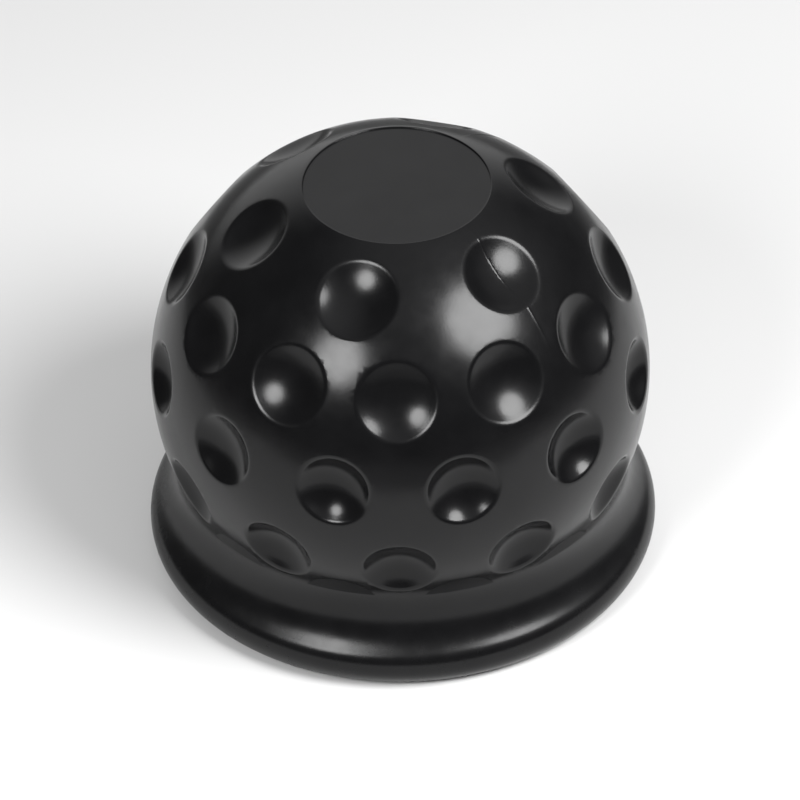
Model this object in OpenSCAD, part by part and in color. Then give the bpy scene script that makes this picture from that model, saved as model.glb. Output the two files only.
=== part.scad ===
// Push-on cover for a 50 mm tow ball, shaped like a dimpled ball that
// runs out into a flared skirt. One soft moulding, open underneath.
// +Z is up, the origin is on the axis at the foot, and -Y is the front.

/* [Bore] */
// Radius of the bore, which grips a 50 mm tow ball
bore_r = 25; // [24.6:0.1:25.5]
// Width of the lead-in around the mouth of the bore
mouth_w = 1.6; // [1:0.1:2]

/* [Head] */
// Thickness of the wall between the bore and the round of the head
wall = 8; // [7.6:0.1:8.6]
// Height of the centre of the head above the foot
head_z = 27.1; // [26.8:0.1:27.4]
// Radius of the flat round land on top
land_r = 12.2; // [11:0.1:12.8]
// Depth of the land below the edge around it
land_depth = 0.25; // [0.15:0.05:0.6]

/* [Dimples] */
// Radius of an upper dimple, where its bowl would meet the head
upper_dimple_r = 5.35; // [4.8:0.05:5.5]
// Radius of the hollow of an upper dimple
upper_bowl_r = 11.4; // [9:0.1:14]
// Radius of a middle dimple, where its bowl would meet the head
middle_dimple_r = 4.9; // [4.5:0.05:5]
// Radius of the hollow of a middle dimple
middle_bowl_r = 6.6; // [6.2:0.1:9]
// Radius of a lower dimple, where its bowl would meet the head
lower_dimple_r = 4.8; // [4.4:0.05:4.9]
// Radius of the hollow of a lower dimple
lower_bowl_r = 7.9; // [6.6:0.1:9]
// Radius of the rounding on the rim of each dimple
rim_r = 0.9; // [0.6:0.1:1]

/* [Skirt] */
// How far outside the bore the centre of the rounded lip runs
lip_out = 5.65; // [5.4:0.05:5.9]
// Radius of the rounded lip
lip_r = 3.3; // [3.1:0.1:3.5]
// Radius of the hollow sweep, which touches both the head and the lip
sweep_r = 9.8; // [9:0.1:10.6]

/* [Hidden] */
// Rings of dimples from the top one down: latitude, number, and turn from the front
ring_lats = [54.2, 31.5, 9, -13.8, -28];
ring_counts = [6, 12, 12, 12, 12];
ring_turns = [-15, 0, 15, 0, 15];
// Radii of the dimples of each ring, and of their hollows
ring_dimple_rs = [upper_dimple_r, upper_dimple_r, middle_dimple_r, lower_dimple_r, lower_dimple_r];
ring_bowl_rs = [upper_bowl_r, upper_bowl_r, middle_bowl_r, lower_bowl_r, lower_bowl_r];
// How far the lip reaches below the foot before it is cut flat
foot_cut = 0.15;
// The last ring of dimples stops at a cone inside the skirt: how far the cone's
// foot stands outside the head and its top inside it, and the height of its top
core_foot_out = 2;
core_top_in = 3.8;
core_top = 17;
// Where the head is cut level inside the skirt, as a share of its centre's height
head_foot_share = 0.35;
// How far the rounding of a rim stands clear of the head's surface
rim_lift = 0.01;
// How far two roundings overlap where they run into each other
blend_lap = 0.002;
// Overrun of every cut
over = 0.5;
round_fn = 44;
dimple_fn = 14;

head_r = bore_r + wall;
lip_ring_r = bore_r + lip_out;
lip_z = lip_r - foot_cut;
land_z = head_z + sqrt(head_r ^ 2 - land_r ^ 2) - land_depth;
// The centre of the sweep, from its ways to the centres of the head and the lip
lip_way = norm([lip_ring_r, head_z - lip_z]);
head_reach = head_r + sweep_r;
lip_reach = lip_r + sweep_r;
opening = acos((lip_way ^ 2 + head_reach ^ 2 - lip_reach ^ 2) / (2 * lip_way * head_reach));
fall = atan2(head_z - lip_z, lip_ring_r) - opening;
sweep_at = [head_reach * cos(fall), head_z - head_reach * sin(fall)];
skirt_in_r = bore_r - over;
head_foot = head_foot_share * head_z;

// Half section of the cutter for one dimple, up the Y axis from the centre of the head
module dimple_section(dimple_r, bowl_r) {
    bowl_y = sqrt(head_r ^ 2 - dimple_r ^ 2) + sqrt(bowl_r ^ 2 - dimple_r ^ 2);
    rim_reach = head_r - rim_r + rim_lift;
    bowl_reach = bowl_r + rim_r - blend_lap;
    lean = acos((bowl_y ^ 2 + rim_reach ^ 2 - bowl_reach ^ 2) / (2 * bowl_y * rim_reach));
    rim_at = [rim_reach * sin(lean), rim_reach * cos(lean)];
    rim_out = [(head_r + over) * sin(lean), (head_r + over) * cos(lean)];
    intersection() {
        union() {
            translate([0, bowl_y]) circle(bowl_r, $fn = 2 * dimple_fn);
            difference() {
                polygon([[0, bowl_y], rim_at, rim_out]);
                translate(rim_at) circle(rim_r, $fn = dimple_fn);
            }
        }
        square([head_r, head_r + over]);
    }
}

module dimple_ring(i) {
    translate([0, 0, head_z])
        for (k = [0 : ring_counts[i] - 1])
            rotate([0, 90 - ring_lats[i], ring_turns[i] + k * 360 / ring_counts[i] - 90])
                rotate_extrude($fn = dimple_fn) dimple_section(ring_dimple_rs[i], ring_bowl_rs[i]);
}

// Only the tops of the last ring show, because the skirt fills the rest
module dimples() {
    for (i = [0 : len(ring_lats) - 2]) dimple_ring(i);
    difference() {
        dimple_ring(len(ring_lats) - 1);
        cylinder(h = core_top, r1 = head_r + core_foot_out, r2 = head_r - core_top_in, $fn = round_fn);
    }
}

// Half section of the skirt: the hollow sweep below the head, and the rounded lip
module skirt_section() {
    difference() {
        union() {
            polygon([
                [skirt_in_r, 0],
                [lip_ring_r, 0],
                [lip_ring_r, lip_z],
                sweep_at,
                [skirt_in_r, head_z - skirt_in_r * tan(fall)]
            ]);
            intersection() {
                translate([lip_ring_r, lip_z]) circle(lip_r, $fn = round_fn);
                translate([bore_r, 0]) square([head_r, head_r]);
            }
        }
        translate(sweep_at) circle(sweep_r + blend_lap, $fn = round_fn);
    }
}

// The head is cut level inside the skirt
module body() {
    intersection() {
        translate([0, 0, head_z]) sphere(head_r, $fn = round_fn);
        translate([0, 0, head_foot]) cylinder(h = 2 * head_r, r = head_r + over, $fn = round_fn);
    }
    rotate_extrude($fn = round_fn) skirt_section();
}

// Half section of the straight bore with a domed end and a lead-in at its mouth
module bore_section() {
    intersection() {
        union() {
            translate([0, head_z]) circle(bore_r, $fn = round_fn);
            translate([0, -over]) square([bore_r, head_z + over]);
            polygon([[0, mouth_w], [bore_r, mouth_w], [bore_r + mouth_w + over, -over], [0, -over]]);
        }
        translate([0, -over]) square([2 * bore_r, 2 * head_r]);
    }
}

module land() {
    translate([0, 0, land_z]) cylinder(h = head_r, r = land_r, $fn = round_fn);
}

module cover() {
    color("#232325")
        difference() {
            body();
            dimples();
            rotate_extrude($fn = round_fn) bore_section();
            land();
        }
}

cover();
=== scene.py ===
"""Push-on cover for a tow ball: one black moulding with dimples, on a pale studio floor.

Sizes are in millimetres, and a finished mesh is made metres.
The frame is the CAD model's: +Z up, the origin on the axis at the foot, -Y the front.
"""
import math

import bmesh
import bpy
from mathutils import Matrix, Vector


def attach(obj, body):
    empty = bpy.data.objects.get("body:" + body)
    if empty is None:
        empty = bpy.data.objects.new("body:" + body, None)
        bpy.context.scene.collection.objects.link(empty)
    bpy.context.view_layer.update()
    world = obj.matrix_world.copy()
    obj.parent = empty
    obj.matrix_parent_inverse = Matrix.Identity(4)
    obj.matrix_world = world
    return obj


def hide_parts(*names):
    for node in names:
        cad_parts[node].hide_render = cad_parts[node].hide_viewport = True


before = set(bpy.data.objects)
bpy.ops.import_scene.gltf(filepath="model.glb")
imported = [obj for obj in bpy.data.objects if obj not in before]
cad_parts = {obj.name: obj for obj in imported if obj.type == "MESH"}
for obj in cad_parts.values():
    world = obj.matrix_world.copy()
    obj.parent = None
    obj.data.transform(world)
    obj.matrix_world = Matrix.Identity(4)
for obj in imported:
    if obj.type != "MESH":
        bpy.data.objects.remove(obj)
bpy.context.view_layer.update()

MM = 0.001
UP, SIDE = Vector((0, 0, 1)), Vector((0, 1, 0))

# The moulding, as the CAD model has it
BORE_R = 25.0
MOUTH_W = 1.6               # width of the lead-in around the bore's mouth
HEAD_R = 33.0
HEAD_Z = 27.1               # height of the head's centre above the foot
LAND_R = 12.2               # the flat round land on top
LAND_DEPTH = 0.25
LIP_RING_R = 30.65          # where the centre of the rounded lip runs
LIP_R = 3.3
FOOT_CUT = 0.15             # how much of the lip is cut off flat at the foot
RIM_LIFT = 0.01             # how far a dimple's rim stands clear of the head's surface
BLEND_LAP = 0.002           # how far two roundings overlap where they run into each other
OVER = 0.5                  # overrun of every cut

# The sweep is a little tighter than the CAD model's (9.8), which lays the skirt's streaks of
# light where the photograph has them, and the cone inside the skirt a little steeper (35, 29.2)
SWEEP_R = 8.6
CORE_FOOT_R = 34.5
CORE_TOP_R = 29.14
CORE_TOP_Z = 17.0

# Rings of dimples from the top one down: latitude, number, turn from the front,
# radius where the bowl would meet the head, radius of the bowl, and radius of the rim.
# Of the last ring only the tops show, because the skirt's core fills the rest.
# The CAD model's rims are all 0.9, its upper dimples 5.35 and its fourth ring's bowls 7.9:
# these were matched to the highlights in the photograph.
DIMPLE_RINGS = (
    (54.2, 6, -15, 5.25, 11.4, 1.5),
    (31.5, 12, 0, 5.25, 11.4, 1.5),
    (9.0, 12, 15, 4.9, 6.6, 1.0),
    (-13.8, 12, 0, 4.8, 7.1, 1.0),
    (-28.0, 12, 15, 4.8, 7.9, 0.4),
)

# One dimple left of the front is shallower: its latitude, its azimuth, and its bowl's radius
SHALLOW_DIMPLE = (9.0, 315, 8.2)

# Fine roundings that only the visible moulding has, at the land's edge and at its foot
LAND_EDGE_R = 0.12
LAND_CORNER_R = 0.05

# Seams left by the halves of the mould: where they run, half their width, their height,
# and between which heights they die away down the head
SEAM_AZIMUTHS = (45.9, 143.0)
SEAM_HALF_WIDTHS = (0.1, 0.9)
SEAM_HEIGHT = 0.03
SEAM_FADE = (43.5, 51.0)
# How far outside the land they are cut and raised, and how near a cut a face is cut with it
SEAM_CUT_OUT = 0.3
SEAM_RISE_OUT = 1
SEAM_REACH = 4

# How finely the round forms are drawn, and from what turn between two faces, in degrees,
# their edge is shaded sharp: lower for the slivers of the last ring, below the cone's top
ROUND_STEPS = 224
DIMPLE_STEPS = 48
BOWL_STEPS = 9
RIM_STEPS = 6
HEAD_STEPS = 72
LIP_STEPS = 28
SWEEP_STEPS = 28
DOME_STEPS = 24
EDGE_STEPS = 4
SHARP_TURN = 35
SLIVER_TURN = 24

# Rubber filled with carbon black. Bare rubber is near 1.5 in IOR, and its waxy skin was
# matched to the photograph, as its roughness was.
RUBBER_COLOURS = ("#0a0a0b", "#0e0e0f")
RUBBER_IOR = 1.34
RUBBER_ROUGHNESS = (0.18, 0.235)
# The rubbed lip: between which heights it sets in, how much duller it is, and how much
# further it spreads light sideways
RUBBED_HEIGHTS = (10, 6)
RUBBED_ROUGHNESS = 0.05
RUBBED_SPREAD = 0.5
# Width of the blotches of bloom and gloss, and width and depth of the slow waves and the grain
BLOOM_SIZE = 5.0
GLOSS_SIZE = 2.2
WAVE_SIZE, WAVE_DEPTH = 7.0, 0.012
GRAIN_SIZE, GRAIN_DEPTH = 0.3, 0.0015
# Most of a noise pattern lies between these values
NOISE_LOW, NOISE_HIGH = 0.3, 0.7

PAPER_COLOUR = "#d4d4d4"
# The table's grey is painted shade: it stands in for the floor growing dimmer further out
FAR_FLOOR_SHADE_COLOUR = "#808080"
LAMP_COLOUR = "#ffffff"

# Extent of the paper in x and y, half the width of the table, and how far it lies below, in metres
PAPER_X, PAPER_Y = (-0.2, 0.2), (-0.125, 0.13)
TABLE_HALF = 0.7
TABLE_DROP = 0.001

# The level of the room, and its paler sides: azimuth and elevation of their middle, the
# cosines from it where the paleness starts and is full, and how much it adds
ROOM_LEVEL = 0.1
ROOM_SIDES = ((-170, 15, 0.67, 0.99, 1.05), (80, 66, 0.5, 1.0, 0.55))

# Softboxes: azimuth, elevation, width and height in metres, radiance, and metres from the head
SOFTBOXES = {
    "softbox_right": (58.5, 47.0, 0.24, 0.235, 18.5, 0.43),
    "softbox_left": (-34.0, 38.0, 0.165, 0.165, 19, 0.43),
}

# The photograph's view of it: where the camera stands, and the point that it looks at
VIEW_AZIMUTH = 1.06
VIEW_ELEVATION = 39.8
VIEW_ROLL = 1.1
VIEW_DISTANCE = 880.0
VIEW_AT_X = -0.12
VIEW_AT_Z = 21.4
LENS = 298.0
SENSOR = 36.0
NEAR, FAR = 0.01, 100


# ---------------------------------------------------------------- outlines and turned solids
def start(bm, r, z):
    """First corner of an outline, at radius r and height z."""
    return bm.verts.new((r, 0, z))


def line(bm, corner, r, z):
    """Carries the outline straight on to a new corner."""
    new = bmesh.ops.extrude_vert_indiv(bm, verts=[corner])["verts"][0]
    new.co = (r, 0, z)
    return new


def arc(bm, corner, r, z, degrees, steps):
    """Carries the outline on round the centre (r, z); positive turns from up to outwards."""
    turned = bmesh.ops.spin(bm, geom=[corner], cent=(r, 0, z), axis=SIDE,
                            angle=math.radians(degrees), steps=steps, use_duplicate=False)
    return [v for v in turned["geom_last"] if isinstance(v, bmesh.types.BMVert)][0]


def turn_round(bm, steps):
    """Spins the outline in bm once round the axis and closes its seam and poles."""
    bmesh.ops.spin(bm, geom=bm.verts[:] + bm.edges[:], cent=(0, 0, 0), axis=UP,
                   angle=math.tau, steps=steps, use_merge=True, use_duplicate=False)
    bmesh.ops.remove_doubles(bm, verts=bm.verts[:], dist=1e-5)
    bmesh.ops.recalc_face_normals(bm, faces=bm.faces[:])


def as_object(name, bm, scale=1.0):
    """Turns the bmesh into an object at the origin, and frees it."""
    bmesh.ops.scale(bm, vec=(scale, scale, scale), verts=bm.verts[:])
    mesh = bpy.data.meshes.new(name)
    bm.to_mesh(mesh)
    bm.free()
    made = bpy.data.objects.new(name, mesh)
    bpy.context.scene.collection.objects.link(made)
    return made


def sweep_centre():
    """Centre of the hollow sweep, which touches both the head and the lip, and its fall.

    The fall is how far below level, in degrees, it lies as seen from the head's centre.
    """
    lip_z = LIP_R - FOOT_CUT
    lip_way = math.hypot(LIP_RING_R, HEAD_Z - lip_z)
    head_way, lip_reach = HEAD_R + SWEEP_R, LIP_R + SWEEP_R
    opening = math.acos((lip_way ** 2 + head_way ** 2 - lip_reach ** 2)
                        / (2 * lip_way * head_way))
    fall = math.atan2(HEAD_Z - lip_z, LIP_RING_R) - opening
    return head_way * math.cos(fall), HEAD_Z - head_way * math.sin(fall), math.degrees(fall)


def body_blank():
    """Head, hollow sweep and rounded lip as one turned body, with the land cut into its top."""
    edge_r = LAND_R + LAND_EDGE_R
    reach = HEAD_R - LAND_EDGE_R
    edge_z = HEAD_Z + math.sqrt(reach ** 2 - edge_r ** 2)
    edge_turn = math.degrees(math.asin(edge_r / reach))
    land_z = HEAD_Z + math.sqrt(HEAD_R ** 2 - LAND_R ** 2) - LAND_DEPTH
    lip_z = LIP_R - FOOT_CUT
    sweep_r, sweep_z, fall = sweep_centre()
    lip_turn = math.degrees(math.atan2(sweep_z - lip_z, sweep_r - LIP_RING_R))
    foot_turn = math.degrees(math.acos(-lip_z / LIP_R))
    bm = bmesh.new()
    at = start(bm, 0, land_z)
    for r in (0.5 * LAND_R, LAND_R - LAND_DEPTH, LAND_R - LAND_CORNER_R):
        at = line(bm, at, r, land_z)
    at = arc(bm, at, LAND_R - LAND_CORNER_R, land_z + LAND_CORNER_R, -90, EDGE_STEPS)
    at = line(bm, at, LAND_R, edge_z)
    at = arc(bm, at, edge_r, edge_z, 90 + edge_turn, 2 * EDGE_STEPS)
    at = arc(bm, at, 0, HEAD_Z, 90 + fall - edge_turn, HEAD_STEPS)
    at = arc(bm, at, sweep_r, sweep_z, -(fall + lip_turn), SWEEP_STEPS)
    at = arc(bm, at, LIP_RING_R, lip_z, foot_turn + lip_turn - 90, LIP_STEPS)
    line(bm, at, 0, 0)
    turn_round(bm, ROUND_STEPS)
    return as_object("body_blank", bm)


def dimple_cutter(bm, dimple_r, bowl_r, rim_r):
    """A button about the axis with the bowl at its foot and the rounding of the rim round it."""
    bowl_z = math.sqrt(HEAD_R ** 2 - dimple_r ** 2) + math.sqrt(bowl_r ** 2 - dimple_r ** 2)
    rim_reach = HEAD_R - rim_r + RIM_LIFT
    bowl_reach = bowl_r + rim_r - BLEND_LAP
    lean = math.acos((bowl_z ** 2 + rim_reach ** 2 - bowl_reach ** 2)
                     / (2 * bowl_z * rim_reach))
    rim = Vector((rim_reach * math.sin(lean), 0, rim_reach * math.cos(lean)))
    bowl_turn = math.atan2(rim.x, bowl_z - rim.z)
    at = start(bm, 0, bowl_z - bowl_r)
    at = arc(bm, at, 0, bowl_z, -math.degrees(bowl_turn), BOWL_STEPS)
    at = arc(bm, at, rim.x, rim.z, math.degrees(bowl_turn + lean), RIM_STEPS)
    at = line(bm, at, (HEAD_R + OVER) * math.sin(lean), (HEAD_R + OVER) * math.cos(lean))
    line(bm, at, 0, HEAD_R + OVER)
    turn_round(bm, DIMPLE_STEPS)


def dimple_cutters(rings):
    """Rings of dimples, as one set of cutters."""
    every = bmesh.new()
    for lat, number, turn, dimple_r, bowl_r, rim_r in rings:
        for k in range(number):
            azimuth = turn + k * 360 / number
            shallow = (lat, azimuth) == SHALLOW_DIMPLE[:2]
            bm = bmesh.new()
            dimple_cutter(bm, dimple_r, SHALLOW_DIMPLE[2] if shallow else bowl_r, rim_r)
            lean = Matrix.Rotation(math.radians(90 - lat), 4, "Y")
            round_axis = Matrix.Rotation(math.radians(azimuth - 90), 4, "Z")
            place = Matrix.Translation((0, 0, HEAD_Z)) @ round_axis @ lean
            bmesh.ops.transform(bm, matrix=place, verts=bm.verts[:])
            button = bpy.data.meshes.new("button")
            bm.to_mesh(button)
            bm.free()
            every.from_mesh(button)
            bpy.data.meshes.remove(button)
    return as_object("dimple_cutters", every)


def skirt_core():
    """The cone inside the skirt, which the last ring of dimples stops at."""
    bm = bmesh.new()
    at = start(bm, 0, CORE_TOP_Z)
    at = line(bm, at, CORE_TOP_R, CORE_TOP_Z)
    at = line(bm, at, CORE_FOOT_R, 0)
    line(bm, at, 0, 0)
    turn_round(bm, ROUND_STEPS)
    return as_object("skirt_core", bm)


def bore_plug():
    """What is taken out of the inside: the straight bore, its dome and its lead-in."""
    bm = bmesh.new()
    at = start(bm, 0, HEAD_Z + BORE_R)
    at = arc(bm, at, 0, HEAD_Z, 90, DOME_STEPS)
    at = line(bm, at, BORE_R, MOUTH_W)
    at = line(bm, at, BORE_R + MOUTH_W + OVER, -OVER)
    line(bm, at, 0, -OVER)
    turn_round(bm, ROUND_STEPS // 2)
    return as_object("bore_plug", bm)


def carve(body, tool):
    """Takes the tool's volume out of the body."""
    cut = body.modifiers.new("cut", "BOOLEAN")
    cut.operation, cut.solver, cut.object = "DIFFERENCE", "MANIFOLD", tool


def smooth_step(value, low, high):
    """From 0 at low to 1 at high, with level ends."""
    t = min(max((value - low) / (high - low), 0.0), 1.0)
    return t * t * (3 - 2 * t)


def raise_seams(bm):
    """Cuts the head along each seam and lifts its middle into a fine ridge."""
    head_centre = Vector((0, 0, HEAD_Z))
    inside_wall = (BORE_R + HEAD_R) / 2
    for azimuth in SEAM_AZIMUTHS:
        a = math.radians(azimuth)
        out = Vector((math.sin(a), -math.cos(a), 0))
        across = Vector((math.cos(a), math.sin(a), 0))
        for offset in (0.0, *SEAM_HALF_WIDTHS, *(-w for w in SEAM_HALF_WIDTHS)):
            near = [f for f in bm.faces
                    if f.calc_center_median().dot(out) > LAND_R + SEAM_CUT_OUT
                    and f.calc_center_median().z > SEAM_FADE[0]
                    and any(abs(v.co.dot(across) - offset) < SEAM_REACH for v in f.verts)]
            edges = list({e for f in near for e in f.edges})
            verts = list({v for f in near for v in f.verts})
            bmesh.ops.bisect_plane(bm, geom=near + edges + verts, dist=1e-5,
                                   plane_co=across * offset, plane_no=across)
        bm.normal_update()
        crest = [v for v in bm.verts
                 if v.co.dot(out) > LAND_R + SEAM_RISE_OUT and abs(v.co.dot(across)) < 1e-3
                 and (v.co - head_centre).length > inside_wall]
        lifts = [(v, v.normal * SEAM_HEIGHT * smooth_step(v.co.z, *SEAM_FADE)) for v in crest]
        for v, lift in lifts:
            v.co += lift


def moulding():
    """The whole cover as one closed skin."""
    body, core = body_blank(), skirt_core()
    whole, covered = dimple_cutters(DIMPLE_RINGS[:-1]), dimple_cutters(DIMPLE_RINGS[-1:])
    carve(covered, core)
    tools = [whole, covered, bore_plug()]
    for tool in tools:
        carve(body, tool)
    depsgraph = bpy.context.evaluated_depsgraph_get()
    carved = bpy.data.meshes.new_from_object(body.evaluated_get(depsgraph))
    # Only the carved mesh is kept, so that no modifier is left on the finished piece
    for blank in [body, core] + tools:
        mesh = blank.data
        bpy.data.objects.remove(blank)
        bpy.data.meshes.remove(mesh)
    bm = bmesh.new()
    bm.from_mesh(carved)
    bpy.data.meshes.remove(carved)
    bmesh.ops.dissolve_degenerate(bm, edges=bm.edges[:], dist=1e-4)
    raise_seams(bm)
    bmesh.ops.recalc_face_normals(bm, faces=bm.faces[:])
    for face in bm.faces:
        face.smooth = True
    for edge in bm.edges:
        low = max(v.co.z for v in edge.verts) < CORE_TOP_Z
        limit = SLIVER_TURN if low else SHARP_TURN
        if edge.is_manifold and math.degrees(edge.calc_face_angle()) > limit:
            edge.smooth = False
    made = as_object("cover_moulding", bm, MM)
    print("moulding:", len(made.data.vertices), "vertices,",
          sum(len(p.vertices) - 2 for p in made.data.polygons), "triangles")
    return made


# ---------------------------------------------------------------- materials
def linear(hex_colour):
    """An sRGB hex colour as the linear RGBA that the shaders take."""
    channels = [int(hex_colour[i:i + 2], 16) / 255 for i in (1, 3, 5)]
    return tuple(c / 12.92 if c <= 0.04045 else ((c + 0.055) / 1.055) ** 2.4
                 for c in channels) + (1.0,)


def add_node(tree, kind, settings=None, inputs=None, links=None):
    """Adds one node: its settings, the values of its inputs, and links into its inputs."""
    made = tree.nodes.new(kind)
    for name, value in (settings or {}).items():
        setattr(made, name, value)
    for name, value in (inputs or {}).items():
        made.inputs[name].default_value = value
    for name, source in (links or {}).items():
        tree.links.new(source, made.inputs[name])
    return made


def empty_material(name):
    """A new material and its node tree, with nothing in it."""
    made = bpy.data.materials.new(name)
    made.use_nodes = True
    made.node_tree.nodes.clear()
    return made, made.node_tree


def noise(tree, place, size, detail, low, high):
    """Soft blotches of a size in millimetres, between two values."""
    blotches = add_node(tree, "ShaderNodeTexNoise",
                        inputs={"Scale": 1 / (size * MM), "Detail": detail},
                        links={"Vector": place.outputs["Object"]})
    return add_node(tree, "ShaderNodeMapRange", inputs={
        "From Min": NOISE_LOW, "From Max": NOISE_HIGH, "To Min": low, "To Max": high},
        links={"Value": blotches.outputs["Fac"]})


def moulded_black_rubber():
    """Rubber filled with carbon black, pressed in a polished steel mould.

    The carbon makes it near black all through, and the mould gives it a semi-gloss skin. As it
    cools the skin shrinks into slow waves, which make the edges of a highlight wander, and it
    keeps the fine grain of the blasted steel. A thin bloom of wax dulls it here and there.
    """
    made, tree = empty_material("moulded_black_rubber")
    place = add_node(tree, "ShaderNodeTexCoord")
    bloom = noise(tree, place, BLOOM_SIZE, 3, 0, 1)
    # Inputs 6 and 7 of a colour mix are its two colours, and its output 2 is the result
    clean, bloomed = (linear(c) for c in RUBBER_COLOURS)
    colour = add_node(tree, "ShaderNodeMix", {"data_type": "RGBA"}, {6: clean, 7: bloomed},
                      {0: bloom.outputs["Result"]})
    # Drawing the cover off its core rubs the lip, which is duller and spreads light sideways
    parts = add_node(tree, "ShaderNodeSeparateXYZ", links={"Vector": place.outputs["Object"]})
    rubbed = add_node(tree, "ShaderNodeMapRange", {"interpolation_type": "SMOOTHSTEP"}, {
        "From Min": RUBBED_HEIGHTS[0] * MM, "From Max": RUBBED_HEIGHTS[1] * MM,
        "To Min": 0, "To Max": 1}, {"Value": parts.outputs["Z"]})
    spread = add_node(tree, "ShaderNodeMath", {"operation": "MULTIPLY"}, {1: RUBBED_SPREAD},
                      {0: rubbed.outputs["Result"]})
    around = add_node(tree, "ShaderNodeTangent", {"direction_type": "RADIAL", "axis": "Z"})
    patchy = noise(tree, place, GLOSS_SIZE, 3, *RUBBER_ROUGHNESS)
    dullness = add_node(tree, "ShaderNodeMath", {"operation": "MULTIPLY_ADD"},
                        {1: RUBBED_ROUGHNESS},
                        {0: rubbed.outputs["Result"], 2: patchy.outputs["Result"]})
    waves = noise(tree, place, WAVE_SIZE, 1, 0, 1)
    slow = add_node(tree, "ShaderNodeBump",
                    inputs={"Strength": 1.0, "Distance": WAVE_DEPTH * MM},
                    links={"Height": waves.outputs["Result"]})
    # The real grain is about 0.1 mm, too fine for the picture, so it is drawn at 0.3 mm
    grain = noise(tree, place, GRAIN_SIZE, 2, 0, 1)
    fine = add_node(tree, "ShaderNodeBump",
                    inputs={"Strength": 1.0, "Distance": GRAIN_DEPTH * MM},
                    links={"Height": grain.outputs["Result"], "Normal": slow.outputs["Normal"]})
    shader = add_node(tree, "ShaderNodeBsdfPrincipled", inputs={"IOR": RUBBER_IOR}, links={
        "Base Color": colour.outputs[2], "Roughness": dullness.outputs[0],
        "Anisotropic": spread.outputs[0], "Tangent": around.outputs["Tangent"],
        "Normal": fine.outputs["Normal"]})
    add_node(tree, "ShaderNodeOutputMaterial", links={"Surface": shader.outputs["BSDF"]})
    return made


def painted_shade_table_top():
    """Matt grey laminate whose grey is painted shade: it stands in for the floor growing dimmer
    further out, which a glossy black edge reflects.
    """
    made, tree = empty_material("grey_laminate_painted_shade")
    far_shade = add_node(tree, "ShaderNodeBsdfDiffuse", inputs={"Color": linear(FAR_FLOOR_SHADE_COLOUR)})
    add_node(tree, "ShaderNodeOutputMaterial", links={"Surface": far_shade.outputs["BSDF"]})
    return made


def background_paper():
    """Matt seamless paper, pale enough to show as white under the studio's light."""
    made, tree = empty_material("background_paper")
    paper = add_node(tree, "ShaderNodeBsdfDiffuse", inputs={"Color": linear(PAPER_COLOUR)})
    add_node(tree, "ShaderNodeOutputMaterial", links={"Surface": paper.outputs["BSDF"]})
    return made


# ---------------------------------------------------------------- studio
def direction(azimuth, elevation):
    """Unit vector towards an azimuth, 0 at the front and positive to the right, and an elevation."""
    a, e = math.radians(azimuth), math.radians(elevation)
    return Vector((math.sin(a) * math.cos(e), -math.cos(a) * math.cos(e), math.sin(e)))


def sheet(name, material, x, y, z):
    """One level sheet between two values of x and of y, in metres."""
    bm = bmesh.new()
    corner = bm.verts.new((x[0], y[0], z))
    side = bmesh.ops.extrude_vert_indiv(bm, verts=[corner])
    side["verts"][0].co.x = x[1]
    across = bmesh.ops.extrude_edge_only(bm, edges=side["edges"])
    for v in across["geom"]:
        if isinstance(v, bmesh.types.BMVert):
            v.co.y = y[1]
    bmesh.ops.recalc_face_normals(bm, faces=bm.faces[:])
    if bm.faces[:][0].normal.z < 0:
        bmesh.ops.reverse_faces(bm, faces=bm.faces[:])
    made = as_object(name, bm)
    made.data.materials.append(material)


def floor():
    """Pale paper under the object, on a grey table outside the picture whose grey is painted shade,
    standing in for the dimmer far floor that darkens the object's edges.
    """
    across = (-TABLE_HALF, TABLE_HALF)
    sheet("floor", background_paper(), PAPER_X, PAPER_Y, 0)
    sheet("table", painted_shade_table_top(), across, across, -TABLE_DROP)


def softbox(name, azimuth, elevation, width, height, radiance, distance):
    """A round softbox aimed at the head's centre, of the given radiance."""
    light = bpy.data.lights.new(name, "AREA")
    light.shape = "ELLIPSE"
    light.size, light.size_y = width, height
    light.energy = radiance * math.pi * math.pi / 4 * width * height
    made = bpy.data.objects.new(name, light)
    bpy.context.scene.collection.objects.link(made)
    towards = direction(azimuth, elevation)
    made.location = Vector((0, 0, HEAD_Z * MM)) + towards * distance
    made.rotation_mode = "QUATERNION"
    made.rotation_quaternion = (-towards).to_track_quat("-Z", "Y")


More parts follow.
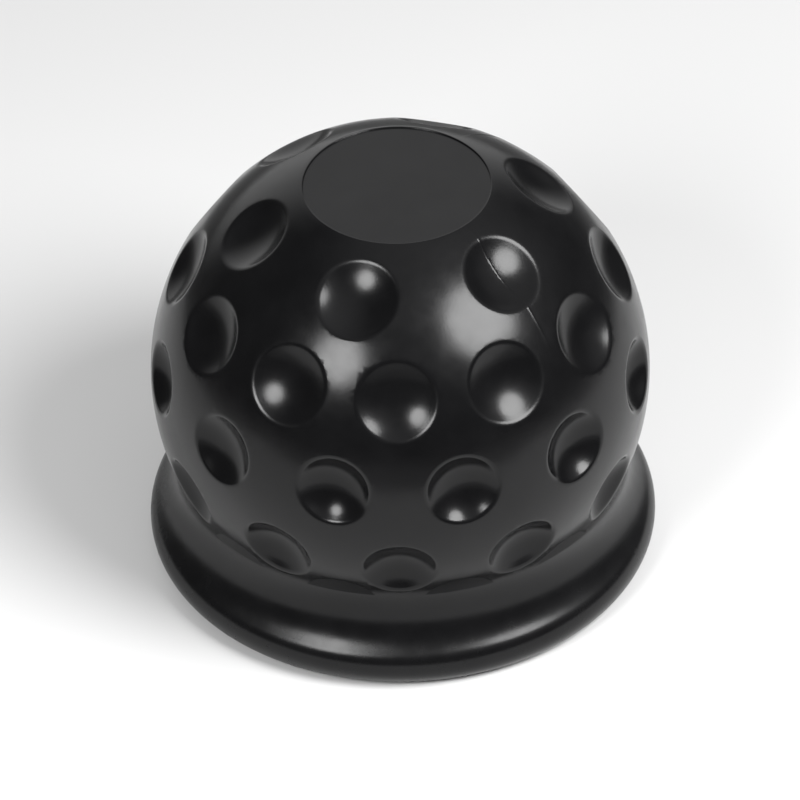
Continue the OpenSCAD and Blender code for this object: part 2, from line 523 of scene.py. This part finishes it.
def studio():
    """A dim room with a pale wall behind and a pale ceiling, and two softboxes."""
    world = bpy.data.worlds.new("studio")
    bpy.context.scene.world = world
    world.use_nodes = True
    tree = world.node_tree
    tree.nodes.clear()
    place = add_node(tree, "ShaderNodeTexCoord")
    level = add_node(tree, "ShaderNodeValue")
    level.outputs[0].default_value = ROOM_LEVEL
    brightness = level.outputs[0]
    for azimuth, elevation, low, high, gain in ROOM_SIDES:
        cosine = add_node(tree, "ShaderNodeVectorMath", {"operation": "DOT_PRODUCT"},
                          {1: direction(azimuth, elevation)}, {0: place.outputs["Generated"]})
        side = add_node(tree, "ShaderNodeMapRange", {"interpolation_type": "SMOOTHSTEP"}, {
            "From Min": low, "From Max": high, "To Min": 0, "To Max": gain},
            {"Value": cosine.outputs["Value"]})
        total = add_node(tree, "ShaderNodeMath", {"operation": "ADD"},
                         links={0: side.outputs["Result"], 1: brightness})
        brightness = total.outputs[0]
    room = add_node(tree, "ShaderNodeBackground", inputs={"Color": linear(LAMP_COLOUR)},
                    links={"Strength": brightness})
    add_node(tree, "ShaderNodeOutputWorld", links={"Surface": room.outputs[0]})
    for name, values in SOFTBOXES.items():
        softbox(name, *values)


def camera():
    """A long lens from the photograph's side, rolled a little."""
    data = bpy.data.cameras.new("camera")
    data.lens, data.sensor_width = LENS, SENSOR
    data.clip_start, data.clip_end = NEAR, FAR
    made = bpy.data.objects.new("camera", data)
    bpy.context.scene.collection.objects.link(made)
    towards = direction(VIEW_AZIMUTH, VIEW_ELEVATION)
    looked_at = Vector((VIEW_AT_X * MM, 0, VIEW_AT_Z * MM))
    made.location = looked_at + towards * VIEW_DISTANCE * MM
    made.rotation_mode = "QUATERNION"
    level = (-towards).to_track_quat("-Z", "Y")
    roll = Matrix.Rotation(math.radians(-VIEW_ROLL), 3, "Z").to_quaternion()
    made.rotation_quaternion = level @ roll
    bpy.context.scene.camera = made


bpy.context.scene.view_settings.view_transform = "Standard"
cover = moulding()
cover.data.materials.append(moulded_black_rubber())
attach(cover, "root")
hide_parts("cover")
floor()
studio()
camera()
